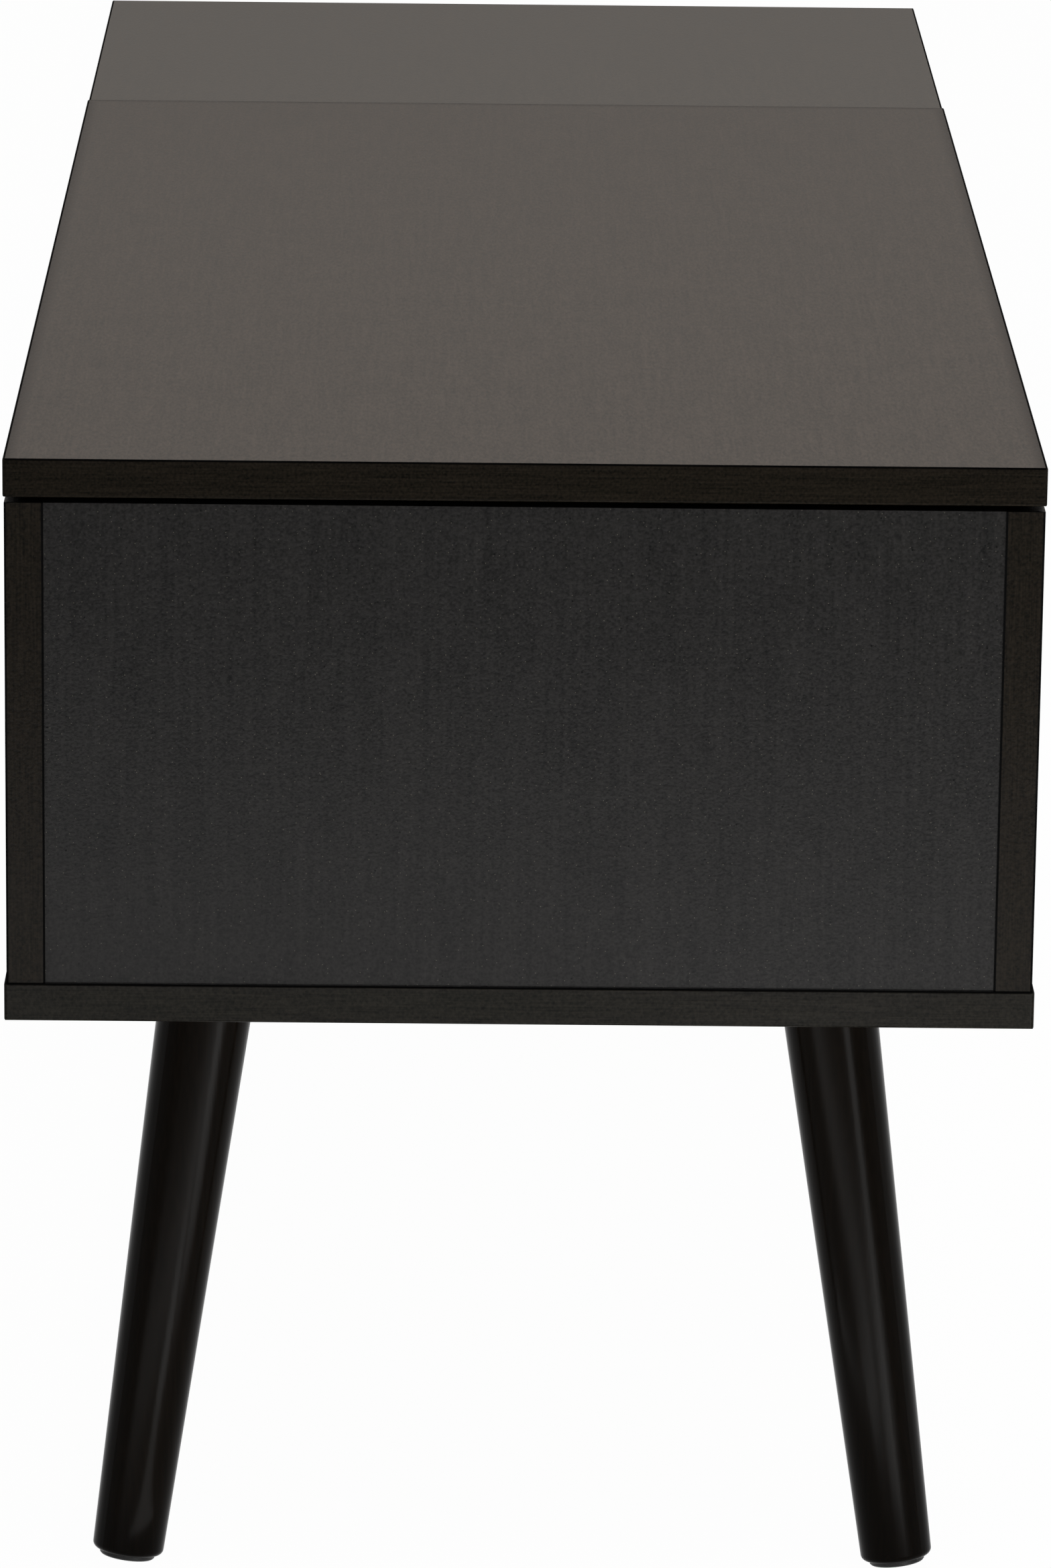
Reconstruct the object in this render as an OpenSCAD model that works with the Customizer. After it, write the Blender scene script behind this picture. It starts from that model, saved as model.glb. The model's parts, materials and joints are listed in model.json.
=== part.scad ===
// Lift top coffee table: a shallow board box on four splayed legs, with a top in two parts.
// The lid is the left part of the top and swings up and out over the front on two parallel linkages.
// X runs from the back to the front, Y from the left end to the right end, Z is up.
// The origin is on the floor under the middle of the bottom panel.

/* [Table] */
// Length of the bottom panel, left to right
table_l = 1000; // [940:5:1200]
// Width of the bottom panel, back to front
table_w = 400; // [380:5:500]
// Clear height under the bottom panel
clear_h = 240; // [180:5:320]
// Height of the walls on the bottom panel
wall_h = 191.5; // [180:0.5:260]

/* [Boards] */
// Thickness of the bottom panel
base_t = 15; // [12:1:22]
// Thickness of the walls and the cross rail
wall_t = 15; // [15:1:20]
// Thickness of the lid and the fixed top
top_t = 15; // [14:1:22]
// Height of the cross rail
rail_h = 120; // [110:5:150]
// How far the bottom panel stands out from the walls
base_reveal = 1; // [0.5:0.5:4]
// How far the tops stand out from the walls
top_reveal = 0.5; // [0.5:0.5:3]
// How far the end panels sit back between the long panels
end_recess = 0.5; // [0:0.5:4]

/* [Edges] */
// Thickness of the edge banding
band_t = 1; // [0.8:0.1:2]
// Radius along the edges of the banding
edge_r = 0.8; // [0.3:0.1:0.8]
// Radius of the upright corners of the tops and the bottom panel
corner_r = 1.5; // [0.5:0.5:2]

/* [Top] */
// Length of the lid
lid_l = 725; // [640:5:760]
// Gap between the lid and the fixed top
seam_gap = 3; // [2:0.5:5]
// Height of the rubber bumpers under the lid
bumper_h = 2.3; // [1.5:0.1:5]
// Diameter of the bumpers
bumper_d = 10; // [8:1:12]
// Distance of the bumpers from the ends of the lid
bumper_inset = 60; // [40:5:120]

/* [Legs] */
// Distance of the leg axes from the sides and ends, at the bottom panel
leg_inset = 78; // [65:1:110]
// Splay of the legs, as seen from the end and from the side
leg_splay = 7.8; // [0:0.1:12]
// Diameter of the legs at the top
leg_top_d = 38; // [32:1:44]
// Diameter of the legs at the foot
leg_foot_d = 28.5; // [24:0.5:36]
// Radius around the foot
foot_r = 2.5; // [1:0.5:3]
// Distance from the bottom panel to the top of the legs, along the leg
leg_seat = 8; // [8:0.5:12]
// Diameter of the foot glides
glide_d = 22; // [16:1:22]
// Thickness of the foot glides
glide_h = 2; // [1.5:0.5:4]
// Easing of the lower edge of the foot glides
glide_ease = 0.5; // [0.2:0.1:1]
// Diameter of the nail of a foot glide
nail_d = 3; // [2:0.5:4]
// Length of the nail of a foot glide
nail_l = 16; // [10:1:22]

/* [Leg plates] */
// Side of the square leg plates
plate_w = 66; // [60:1:80]
// Thickness of the leg plates
plate_t = 2.5; // [2:0.5:4]
// Corner radius of the plates and brackets
plate_r = 8; // [3:1:12]
// Diameter of the angled boss under the plate
boss_d = 24; // [20:1:28]
// Distance of the plate screws from the plate's edges
plate_screw_inset = 9; // [8:0.5:12]
// Diameter of the hanger bolts
hanger_d = 8; // [6:1:10]
// Depth of the hanger bolts in the legs
hanger_in_leg = 38; // [25:1:60]
// Height of the hanger bolts above the underside of the bottom panel
hanger_up = 5; // [2:0.5:7]

/* [Lift] */
// Distance between the two pivots of an arm
arm_l = 170; // [150:5:180]
// Rise of the closed arms above the horizontal, in degrees
closed_rise = 5; // [3:1:8]
// Slope of the open arms above the horizontal, in degrees
open_rise = 50; // [45:1:60]
// Distance between the main and second pivots
link_gap = 60; // [58:1:66]
// Distance of the main base pivot in front of the middle of the table
pivot_x = 20; // [10:1:30]
// Distance of the main base pivot below the top of the walls
pivot_drop = 60; // [56:1:66]
// Width of the arms
arm_w = 22; // [18:1:22]
// Diameter of the arms around the base pivots
arm_root_d = 26; // [24:1:28]
// Thickness of the arms
arm_t = 2.5; // [2:0.5:3]
// Depth of the arms over their folded edges
arm_depth = 8; // [6:0.5:10]
// Inner radius of the folds of the arms, base plates and lid brackets
fold_r = 1.5; // [0.5:0.5:2]
// Thickness of the base plates
base_plate_t = 2.5; // [2:0.5:4]
// How far the base plates reach past the base pivots, front and back
base_plate_side = 24; // [22:1:30]
// How far the base plates reach below the main base pivot
base_plate_drop = 38; // [36:1:44]
// How far the base plates reach above the second base pivot
base_plate_rise = 14; // [13:1:16]
// Depth of the base plates over their folded lower edge
base_plate_depth = 12; // [10:0.5:14]
// Distance of the base plate screws from the plate's edges
base_screw_inset = 9; // [8:0.5:10]
// Diameter of the pivot pins
pin_d = 8; // [6:1:9]
// Diameter of the pin heads
pin_head_d = 15; // [13:1:16]
// Thickness of the pin heads
pin_head_h = 1.7; // [1.2:0.1:2]
// Diameter of the washers on the pivot pins
washer_d = 17; // [14:0.5:19]
// Diameter of the tie bar
tie_d = 10; // [8:1:12]
// Width of the shoulders of the tie bar against the arms
tie_shoulder = 1; // [0.5:0.5:1.5]
// Place of the tie bar, measured along the main arm from its base pivot
tie_at = 105; // [90:1:115]
// Diameter of the stop pins
stop_d = 8; // [6:1:8]
// Place of the stop pins, measured along the open main arm from its base pivot
stop_at = 22; // [20:1:24]

/* [Lid brackets] */
// Length of the lid brackets
bracket_l = 280; // [250:5:290]
// How far the lid brackets reach behind the main lid pivot
bracket_back = 16; // [14:1:20]
// Thickness of the lid brackets
bracket_t = 2.5; // [2:0.5:3]
// Width of the flange under the lid
bracket_flange = 28; // [24:1:34]
// Depth of the upright flange
bracket_web = 14; // [10:1:18]
// Diameter of the bracket around the lid pivots
ear_d = 24; // [22:1:26]
// Distance of the outer screws from the ends of the bracket
bracket_screw_inset = 18; // [12:1:30]

/* [Springs] */
// Diameter of the spring wire
wire_d = 2.5; // [2:0.1:2.8]
// Diameter of the arbor that carries the coil
arbor_d = 11.6; // [10:0.2:12]
// Full turns of the coil
coil_turns = 5; // [3:1:6]
// Length of the moving leg along the main arm
spring_leg_l = 42; // [36:1:50]
// Diameter of the spring anchor pins
anchor_d = 6; // [5:1:7]
// Distance of the spring anchor pins below the main base pivot
anchor_drop = 24; // [22:1:26]

/* [Joining hardware] */
// Diameter of the cams
cam_d = 15; // [12:1:15]
// Depth of the cams
cam_h = 12; // [10:0.5:12]
// Distance of the cams from the edge of their board
cam_back = 24; // [20:1:34]
// Width of the screwdriver slots of the cams
cam_slot_w = 1.6; // [1.2:0.1:2]
// Diameter of the cam bolts
cam_bolt_d = 6; // [5:0.5:7]
// Diameter of the neck that the cam grips
cam_neck_d = 4; // [3:0.5:4.5]
// Depth of the cam bolts in the facing board
cam_bolt_in = 10; // [8:0.5:10]
// Distance of the cams from the top and bottom of the walls
cam_inset = 40; // [36:1:44]
// Distance of the cams under the fixed top's end from the middle
top_cam_x = 100; // [60:5:120]
// Diameter of the dowels
dowel_d = 8; // [6:1:8]
// Length of the dowels
dowel_l = 30; // [25:1:40]
// Depth of the dowels in the facing board
dowel_in = 10; // [8:0.5:10]
// Distance of the dowels from the top and bottom of the walls
dowel_inset = 66; // [62:1:70]
// Distance of the dowels from the top and bottom of the cross rail
rail_dowel_inset = 30; // [15:1:40]
// Distance of the dowels under the fixed top from its ends
top_dowel_inset = 68; // [40:1:90]
// Diameter of the long screws through the bottom panel
long_screw_d = 5; // [4:0.5:6]
// Length of the long screws
long_screw_l = 50; // [40:1:60]
// Distance of the outer long screws from the ends of the long panels
long_screw_inset = 110; // [80:5:200]
// Distance of the long screws in the end panels from the middle
end_screw_x = 70; // [40:5:120]
// Diameter of the short screws in the plates and brackets
screw_d = 4; // [3.5:0.5:4.5]
// Length of the short screws
screw_l = 13; // [10:0.5:14]

/* [Fits] */
// Radial clearance of the running fits
running_gap = 0.05; // [0.03:0.01:0.1]
// Radial clearance at the second lid pivots, which close the linkages
loose_gap = 0.3; // [0.2:0.05:0.4]
// Radial clearance of the fasteners in their holes
fit_gap = 0.05; // [0.02:0.01:0.1]
// Space between the layers of the lift mechanism, which the washers fill
layer_gap = 1; // [0.8:0.1:1.4]
// Play of the washers on each face
washer_play = 0.1; // [0.05:0.05:0.2]
// Clearance between moving parts that pass each other
air_gap = 0.3; // [0.2:0.05:0.5]
// Clearance between the turns of the springs
turn_gap = 0.15; // [0.1:0.05:0.3]

/* [Hidden] */
$fn = 48;

// How far cutters reach past the faces that they open
past = 1;
// Chamfers of the legs and the dowels
leg_chamfer = 0.5;
dowel_chamfer = 1;

// Levels, from the floor up
wall_z = clear_h + base_t;
wall_top = wall_z + wall_h;
lid_z = wall_top + bumper_h;

// Plan of the box
wall_x = table_w / 2 - base_reveal;
inner_x = wall_x - wall_t;
wall_mid_x = wall_x - wall_t / 2;
wall_y = table_l / 2 - base_reveal;
end_y = wall_y - end_recess - wall_t / 2;
end_face_y = end_y - wall_t / 2;
top_w = 2 * (wall_x + top_reveal);
top_y = wall_y + top_reveal;
lid_mid_y = -top_y + lid_l / 2;
fixed_l = 2 * top_y - lid_l - seam_gap;
fixed_mid_y = top_y - fixed_l / 2;
seam_y = -top_y + lid_l + seam_gap / 2;
rail_face_y = seam_y - wall_t / 2;
rail_mid_z = wall_top - rail_h / 2;

// Legs: the splay seen from the end and the side makes one tilt along the diagonal
leg_tilt = atan(tan(leg_splay) * sqrt(2));
foot_at = (clear_h - (glide_d / 2 - glide_ease) * sin(leg_tilt)) / cos(leg_tilt) - glide_h;

// Lift: pivots in the X-Z plane, measured from the main base pivot
pivot_z = wall_top - pivot_drop;
closed_a = 180 - closed_rise;
pair_a = (closed_a + open_rise) / 2 - 90;
base_2 = link_gap * [cos(pair_a), sin(pair_a)];
lid_1 = arm_l * [cos(closed_a), sin(closed_a)];
lid_2 = lid_1 + base_2;
lid_under = lid_z - pivot_z;
open_stop = stop_at * [cos(open_rise), sin(open_rise)]
    + (arm_w / 2 + air_gap + stop_d / 2) * [sin(open_rise), -cos(open_rise)];

// Lift: layers, measured from the board that carries the base plate
arm_at = base_plate_t + layer_gap;
arm_face = arm_at + arm_t;
web_at = arm_face + layer_gap;
web_face = web_at + bracket_t;
leg_wire_at = web_at + wire_d / 2;
coil_pitch = wire_d + turn_gap;
coil_r = arbor_d / 2 + air_gap + wire_d / 2;
coil_start_a = closed_a - 90;
coil_a = coil_start_a + 360 * (coil_turns - 1);
coil_end = leg_wire_at + coil_pitch * (1 + coil_a / 360);
arbor_end = coil_end + wire_d / 2 + air_gap;
coil_head_d = 2 * (coil_r + wire_d);
anchor = [coil_r + wire_d / 2 + anchor_d / 2, -anchor_drop];

// Springs: angle between the rings of the wire, and the part of a turn that moves with the arm
wire_step = 22.5;
hooked_a = 300;

// Folded edges of the arms: they start past the spring's hook and end short of the tie bar and of
// the circle in which the lid bracket turns
fold_from = spring_leg_l + 2 * wire_d;
fold_to = min(tie_at - tie_d, arm_l - link_gap - ear_d / 2 - air_gap);

// Places of the joining hardware, each [[x, y, z], rotation]: the bolt runs along +X from the joint
// into its own board, and the cam opens towards +Y
SIDES = [-1, 1];
function at_wall_ends(inset) = [
    for (side = SIDES, end = SIDES, z = [wall_z + inset, wall_top - inset])
        [[side * inner_x, end * end_y, z], [end > 0 ? 180 : 0, side > 0 ? 180 : 0, 0]]
];
end_cams = at_wall_ends(cam_inset);
end_dowels = at_wall_ends(dowel_inset);
rail_cams = [for (side = SIDES) [[side * inner_x, seam_y, rail_mid_z], [0, side > 0 ? 180 : 0, 0]]];
rail_dowels = [
    for (side = SIDES, dz = [-1, 1])
        [[side * inner_x, seam_y, rail_mid_z + dz * (rail_h / 2 - rail_dowel_inset)],
         [0, side > 0 ? 180 : 0, 0]]
];
fixed_wall_cams = [
    for (side = SIDES) [[side * wall_mid_x, fixed_mid_y, wall_top], [0, 90, side > 0 ? 90 : -90]]
];
fixed_end_cams = [for (side = SIDES) [[side * top_cam_x, end_y, wall_top], [0, 90, 180]]];
fixed_wall_dowels = [
    for (side = SIDES, dy = [-1, 1])
        [[side * wall_mid_x, fixed_mid_y + dy * (fixed_l / 2 - top_dowel_inset), wall_top], [0, 90, 0]]
];
fixed_end_dowels = [[[0, end_y, wall_top], [0, 90, 0]]];

wall_screws = [for (side = SIDES, k = [-1, 0, 1]) [side * wall_mid_x, k * (wall_y - long_screw_inset)]];
end_screws = [for (end = SIDES, k = SIDES) [k * end_screw_x, end * end_y]];
base_screw_at = [
    for (x = [base_screw_inset - base_plate_side, base_2.x + base_plate_side - base_screw_inset],
         z = [base_plate_t + base_screw_inset - base_plate_drop,
              base_2.y + base_plate_rise - base_screw_inset])
        [x, z]
];
bracket_screw_at = [
    for (k = [0:3])
        lid_1.x - bracket_back + bracket_screw_inset + k * (bracket_l - 2 * bracket_screw_inset) / 3
];
bracket_screw_d = web_face + (bracket_flange - bracket_t) / 2;

// ---- Shared shapes ----

module place(places) {
    for (p = places) translate(p[0]) rotate(p[1]) children();
}

module rounded_rect(w, l, r) {
    union() {
        square([w - 2 * r, l], center = true);
        square([w, l - 2 * r], center = true);
        for (x = SIDES, y = SIDES) translate([x * (w / 2 - r), y * (l / 2 - r)]) circle(r);
    }
}

// Board outline with eased long edges and rounded upright corners
module eased_board(w, l, t) {
    intersection() {
        linear_extrude(t) rounded_rect(w, l, corner_r);
        translate([0, l / 2, t / 2]) rotate([90, 0, 0]) linear_extrude(l) rounded_rect(w, t, edge_r);
        translate([-w / 2, 0, t / 2]) rotate([90, 0, 90]) linear_extrude(w) rounded_rect(l, t, edge_r);
    }
}

module board_core(w, l, t) {
    translate([band_t - w / 2, band_t - l / 2, 0]) cube([w - 2 * band_t, l - 2 * band_t, t]);
}

module edge_band(w, l, t) {
    difference() {
        eased_board(w, l, t);
        translate([0, 0, -past]) board_core(w, l, t + 2 * past);
    }
}

// Plate in the X-Z plane, from distance at to at + t in Y
module upright(at, t) {
    translate([0, at + t, 0]) rotate([90, 0, 0]) linear_extrude(t) children();
}

module rod_y(from, to, d) {
    translate([0, from, 0]) rotate([-90, 0, 0]) cylinder(h = to - from, d = d);
}

// Low domed rivet head on the face at a distance in Y, standing towards +Y, or towards -Y with way = -1
module rivet_head(at, d, way = 1) {
    translate([0, at, 0]) rotate([-90 * way, 0, 0]) rotate_extrude()
        polygon([[0, 0], [d / 2, 0], [d / 2, pin_head_h / 2], [d / 3, pin_head_h], [0, pin_head_h]]);
}

// Sheet folded along the X axis, which is its outer corner, with one leg down and one along +Y
module folded_sheet(length, t, down, out) {
    r = fold_r + t;
    rotate([90, 0, 90]) linear_extrude(length) difference() {
        union() {
            translate([0, -down]) square([t, down - r]);
            translate([r, -t]) square([out - r, t]);
            intersection() {
                translate([r, -r]) circle(r);
                translate([0, -r]) square(r);
            }
        }
        translate([r, -r]) circle(fold_r);
    }
}

// Puts children at a point of the X-Z plane
module at_xz(p) {
    translate([p.x, 0, p.y]) children();
}

// Countersunk screw along -Z with its head's face at z = 0
module countersunk(d, l) {
    union() {
        translate([0, 0, -l]) cylinder(h = l, d = d);
        translate([0, 0, -d / 2]) cylinder(h = d / 2, d1 = d, d2 = 2 * d);
    }
}

// Countersink for that screw, opening towards -Z at z = 0
module countersink(d) {
    translate([0, 0, -fit_gap])
        cylinder(h = d / 2 + fit_gap, d1 = 2 * d + 6 * fit_gap, d2 = d + 4 * fit_gap);
}

// ---- Joining hardware ----

module cam_bore() {
    rotate([0, 90, 0]) cylinder(h = cam_back, d = cam_bolt_d + 2 * fit_gap);
    translate([cam_back, wall_t / 2 - cam_h, 0]) rotate([-90, 0, 0])
        cylinder(h = cam_h + past, d = cam_d + 2 * fit_gap);
}

module cam_bolt_hole() {
    translate([-cam_bolt_in - past, 0, 0]) rotate([0, 90, 0])
        cylinder(h = cam_bolt_in + 2 * past, d = cam_bolt_d + 2 * fit_gap);
}

module dowel_hole() {
    translate([-dowel_in - past, 0, 0]) rotate([0, 90, 0])
        cylinder(h = dowel_l + 2 * past, d = dowel_d + 2 * fit_gap);
}

// Cam with a bore for the bolt's head and a crossed screwdriver slot
module cam_lock() {
    slot_l = cam_d - 4 * cam_slot_w;
    difference() {
        translate([cam_back, wall_t / 2 - cam_h, 0]) rotate([-90, 0, 0]) cylinder(h = cam_h, d = cam_d);
        rotate([0, 90, 0]) cylinder(h = cam_back + cam_bolt_d / 2, d = cam_bolt_d + 1);
        translate([cam_back, wall_t / 2, 0]) {
            cube([slot_l, 2 * cam_slot_w, cam_slot_w], center = true);
            cube([cam_slot_w, 2 * cam_slot_w, slot_l], center = true);
        }
    }
}

// Bolt with a neck that the cam grips behind its head
module cam_bolt() {
    r = cam_bolt_d / 2;
    neck = cam_neck_d / 2;
    length = cam_bolt_in + cam_back + cam_bolt_d / 3;
    head = length - r;
    translate([-cam_bolt_in, 0, 0]) rotate([0, 90, 0]) rotate_extrude() polygon([
        [0, 0], [r, 0], [r, head - 2 * r], [neck, head - 2 * r + neck], [neck, head - neck / 2], [r, head],
        [r, length], [0, length]
    ]);
}

module dowel() {
    tip_d = dowel_d - 2 * dowel_chamfer;
    translate([-dowel_in, 0, 0]) rotate([0, 90, 0]) union() {
        translate([0, 0, dowel_chamfer]) cylinder(h = dowel_l - 2 * dowel_chamfer, d = dowel_d);
        cylinder(h = dowel_chamfer, d1 = tip_d, d2 = dowel_d);
        translate([0, 0, dowel_l - dowel_chamfer]) cylinder(h = dowel_chamfer, d1 = dowel_d, d2 = tip_d);
    }
}

module long_screw_holes(at) {
    for (p = at) translate([p.x, p.y, clear_h - past])
        cylinder(h = long_screw_l + 2 * past, d = long_screw_d + 2 * fit_gap);
}

module cam_locks() {
    color("silver") place(concat(end_cams, rail_cams, fixed_wall_cams, fixed_end_cams)) cam_lock();
}

module cam_bolts() {
    color("gainsboro") place(concat(end_cams, rail_cams, fixed_wall_cams, fixed_end_cams)) cam_bolt();
}

module dowels() {
    color("burlywood") place(concat(end_dowels, rail_dowels, fixed_wall_dowels, fixed_end_dowels)) dowel();
}

module long_screws() {
    color("silver") for (p = concat(wall_screws, end_screws))
        translate([p.x, p.y, clear_h]) rotate([180, 0, 0]) countersunk(long_screw_d, long_screw_l);
}

// ---- Box ----

module bottom_panel() {
    color("#262524") difference() {
        translate([0, 0, clear_h]) board_core(table_w, table_l, base_t);
        long_screw_holes(concat(wall_screws, end_screws));
        for (p = concat(wall_screws, end_screws)) translate([p.x, p.y, clear_h])
            countersink(long_screw_d);
        at_legs() translate([0, 0, -past]) cylinder(h = hanger_up + 3 * past, d = 1.5 * hanger_d);
        place_plate_screws() translate([0, 0, -screw_l - past])
            cylinder(h = screw_l + past, d = screw_d + 2 * fit_gap);
    }
}

module bottom_edge_band() {
    color("#1f1d1b") translate([0, 0, clear_h]) edge_band(table_w, table_l, base_t);
}

// Long wall, drawn at the front; side is 1 for the front and -1 for the back
module long_wall(side) {
    difference() {
        translate([side * wall_mid_x - wall_t / 2, band_t - wall_y, wall_z])
            cube([wall_t, 2 * (wall_y - band_t), wall_h]);
        long_screw_holes(wall_screws);
        place(concat(end_cams, rail_cams)) cam_bolt_hole();
        place(concat(end_dowels, rail_dowels, fixed_wall_dowels)) dowel_hole();
        place(fixed_wall_cams) cam_bore();
    }
}

module front_panel() {
    color("#2a2928") long_wall(1);
}

module back_panel() {
    color("#2a2928") long_wall(-1);
}

module end_wall(end) {
    difference() {
        translate([-inner_x, end * end_y - wall_t / 2, wall_z]) cube([2 * inner_x, wall_t, wall_h]);
        long_screw_holes(end_screws);
        place(end_cams) cam_bore();
        place(end_dowels) dowel_hole();
        children();
    }
}

module left_end_panel() {
    color("#2d2c2c") end_wall(-1) left_lift() base_plate_screw_holes();
}

module right_end_panel() {
    color("#2d2c2c") end_wall(1) {
        place(fixed_end_cams) cam_bore();
        place(fixed_end_dowels) dowel_hole();
    }
}

module wall_end_bands() {
    color("#1f1d1b") for (side = SIDES, end = SIDES)
        translate([side * wall_mid_x, end * (wall_y - band_t / 2), wall_z]) linear_extrude(wall_h)
            square([wall_t, band_t], center = true);
}

module cross_rail() {
    color("#2a2928") difference() {
        translate([-inner_x, rail_face_y, wall_top - rail_h]) cube([2 * inner_x, wall_t, rail_h]);
        place(rail_cams) cam_bore();
        place(rail_dowels) dowel_hole();
        right_lift() base_plate_screw_holes();
    }
}

module fixed_top() {
    color("#37342f") difference() {
        translate([0, fixed_mid_y, wall_top]) board_core(top_w, fixed_l, top_t);
        place(concat(fixed_wall_cams, fixed_end_cams)) cam_bolt_hole();
        place(concat(fixed_wall_dowels, fixed_end_dowels)) dowel_hole();
    }
}

module fixed_top_edge_band() {
    color("#1f1d1b") translate([0, fixed_mid_y, wall_top]) edge_band(top_w, fixed_l, top_t);
}

// ---- Lid ----

module lift_lid() {
    color("#37342f") difference() {
        translate([0, lid_mid_y, lid_z]) board_core(top_w, lid_l, top_t);
        lifts() bracket_screw_places() cylinder(h = screw_l, d = screw_d + 2 * fit_gap);
    }
}

module lid_edge_band() {
    color("#1f1d1b") translate([0, lid_mid_y, lid_z]) edge_band(top_w, lid_l, top_t);
}

module lid_bumpers() {
    r = bumper_d / 2;
    ease = bumper_h / 4;
    color("#151515") for (side = SIDES, end = SIDES)
        translate([side * wall_mid_x, lid_mid_y + end * (lid_l / 2 - bumper_inset), wall_top])
            rotate_extrude()
                polygon([[0, 0], [r, 0], [r, bumper_h - ease], [r - ease, bumper_h], [0, bumper_h]]);
}

// ---- Legs ----

// Frame of a leg: the origin is on the underside of the bottom panel, the leg runs along -Z
module at_leg(x_side, y_side) {
    translate([x_side * (table_w / 2 - leg_inset), y_side * (table_l / 2 - leg_inset), clear_h])
        rotate([0, -leg_tilt, atan2(y_side, x_side)]) children();
}

module at_legs() {
    for (x = SIDES, y = SIDES) at_leg(x, y) children();
}

module at_leg_plates() {
    for (x = SIDES, y = SIDES)
        translate([x * (table_w / 2 - leg_inset), y * (table_l / 2 - leg_inset), clear_h]) children();
}

module place_plate_screws() {
    reach = plate_w / 2 - plate_screw_inset;
    at_leg_plates() for (x = SIDES, y = SIDES) translate([x * reach, y * reach, -plate_t])
        rotate([180, 0, 0]) children();
}

// Turned leg: straight taper with a rounded foot, and bores for the hanger bolt and the glide's nail
module leg() {
    top = leg_top_d / 2;
    foot = leg_foot_d / 2;
    difference() {
        rotate_extrude($fn = 64) polygon(concat(
            [[0, -leg_seat], [top - leg_chamfer, -leg_seat], [top, -leg_seat - leg_chamfer]],
            [for (a = [0:15:90]) [foot - foot_r + foot_r * cos(a), -foot_at + foot_r - foot_r * sin(a)]],
            [[0, -foot_at]]
        ));
        translate([0, 0, -leg_seat - hanger_in_leg - past])
            cylinder(h = hanger_in_leg + 2 * past, d = hanger_d + 2 * fit_gap);
        translate([0, 0, -foot_at - past]) cylinder(h = nail_l + past, d = nail_d + 2 * fit_gap);
    }
}

module front_left_leg() {
    color("#1c1a18") at_leg(1, -1) leg();
}

module back_left_leg() {
    color("#1c1a18") at_leg(-1, -1) leg();
}

module front_right_leg() {
    color("#1c1a18") at_leg(1, 1) leg();
}

module back_right_leg() {
    color("#1c1a18") at_leg(-1, 1) leg();
}

// Nail-on glides
module foot_glides() {
    r = glide_d / 2;
    color("#101010") at_legs() translate([0, 0, -foot_at - glide_h]) rotate_extrude() polygon([
        [0, 0], [r - glide_ease, 0], [r, glide_ease], [r, glide_h], [nail_d / 2, glide_h],
        [nail_d / 2, glide_h + nail_l], [0, glide_h + nail_l]
    ]);
}

module leg_plates() {
    color("#2b2b2b") difference() {
        union() {
            at_leg_plates() translate([0, 0, -plate_t]) linear_extrude(plate_t)
                rounded_rect(plate_w, plate_w, plate_r);
            intersection() {
                at_legs() translate([0, 0, -leg_seat]) cylinder(h = 2 * leg_seat, d = boss_d);
                at_leg_plates() translate([-plate_w / 2, -plate_w / 2, -plate_t - 2 * leg_seat])
                    cube([plate_w, plate_w, 2 * leg_seat]);
            }
        }
        at_legs() translate([0, 0, -2 * leg_seat]) cylinder(h = 4 * leg_seat, d = hanger_d + 2 * fit_gap);
        place_plate_screws() translate([0, 0, -plate_t - past])
            cylinder(h = plate_t + 2 * past, d = screw_d + 2 * fit_gap);
    }
}

module hanger_bolts() {
    color("silver") at_legs() translate([0, 0, -leg_seat - hanger_in_leg])
        cylinder(h = leg_seat + hanger_in_leg + hanger_up, d = hanger_d);
}

// Pan head screw along -Z, with the underside of its head at z = 0
module pan_screw() {
    head_h = screw_d * 0.6;
    translate([0, 0, -screw_l]) cylinder(h = screw_l, d = screw_d);
    rotate_extrude() polygon([
        [0, 0], [screw_d, 0], [screw_d, head_h / 2], [screw_d * 0.7, head_h * 0.9], [0, head_h]
    ]);
}

module leg_plate_screws() {
    color("silver") place_plate_screws() pan_screw();
}

// ---- Lift mechanism ----

// Frame of a lift: the origin is on the board at the main base pivot, +Y points into the box
module left_lift() {
    translate([pivot_x, -end_face_y, pivot_z]) children();
}

module right_lift() {
    translate([pivot_x, rail_face_y, pivot_z]) mirror([0, 1, 0]) children();
}

module lifts() {
    left_lift() children();
    right_lift() children();
}

module base_plate_screw_holes() {
    for (p = base_screw_at) at_xz(p) rod_y(-screw_l, base_plate_t + past, screw_d + 2 * fit_gap);
}

// Pressed plate with holes for the pins and a folded lower edge
module base_plate() {
    w = base_2.x + 2 * base_plate_side;
    h = base_2.y + base_plate_drop + base_plate_rise;
    fold = fold_r + 1.5 * base_plate_t;
    difference() {
        union() {
            upright(0, base_plate_t) difference() {
                translate([w / 2 - base_plate_side, h / 2 - base_plate_drop]) rounded_rect(w, h, plate_r);
                translate([-base_plate_side, -base_plate_drop]) square([w, fold]);
                circle(d = pin_d + 2 * fit_gap);
                translate(base_2) circle(d = pin_d + 2 * fit_gap);
                translate(open_stop) circle(d = stop_d + 2 * fit_gap);
                translate(anchor) circle(d = anchor_d + 2 * fit_gap);
            }
            translate([plate_r - base_plate_side, 0, -base_plate_drop]) mirror([0, 0, 1])
                folded_sheet(w - 2 * plate_r, base_plate_t, fold, base_plate_depth);
        }
        base_plate_screw_holes();
        for (p = base_screw_at) at_xz(p) translate([0, base_plate_t, 0]) rotate([90, 0, 0])
            countersink(screw_d);
    }
}

module left_base_plate() {
    color("#3a3a3c") left_lift() base_plate();
}

module right_base_plate() {
    color("#3a3a3c") right_lift() base_plate();
}

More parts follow.
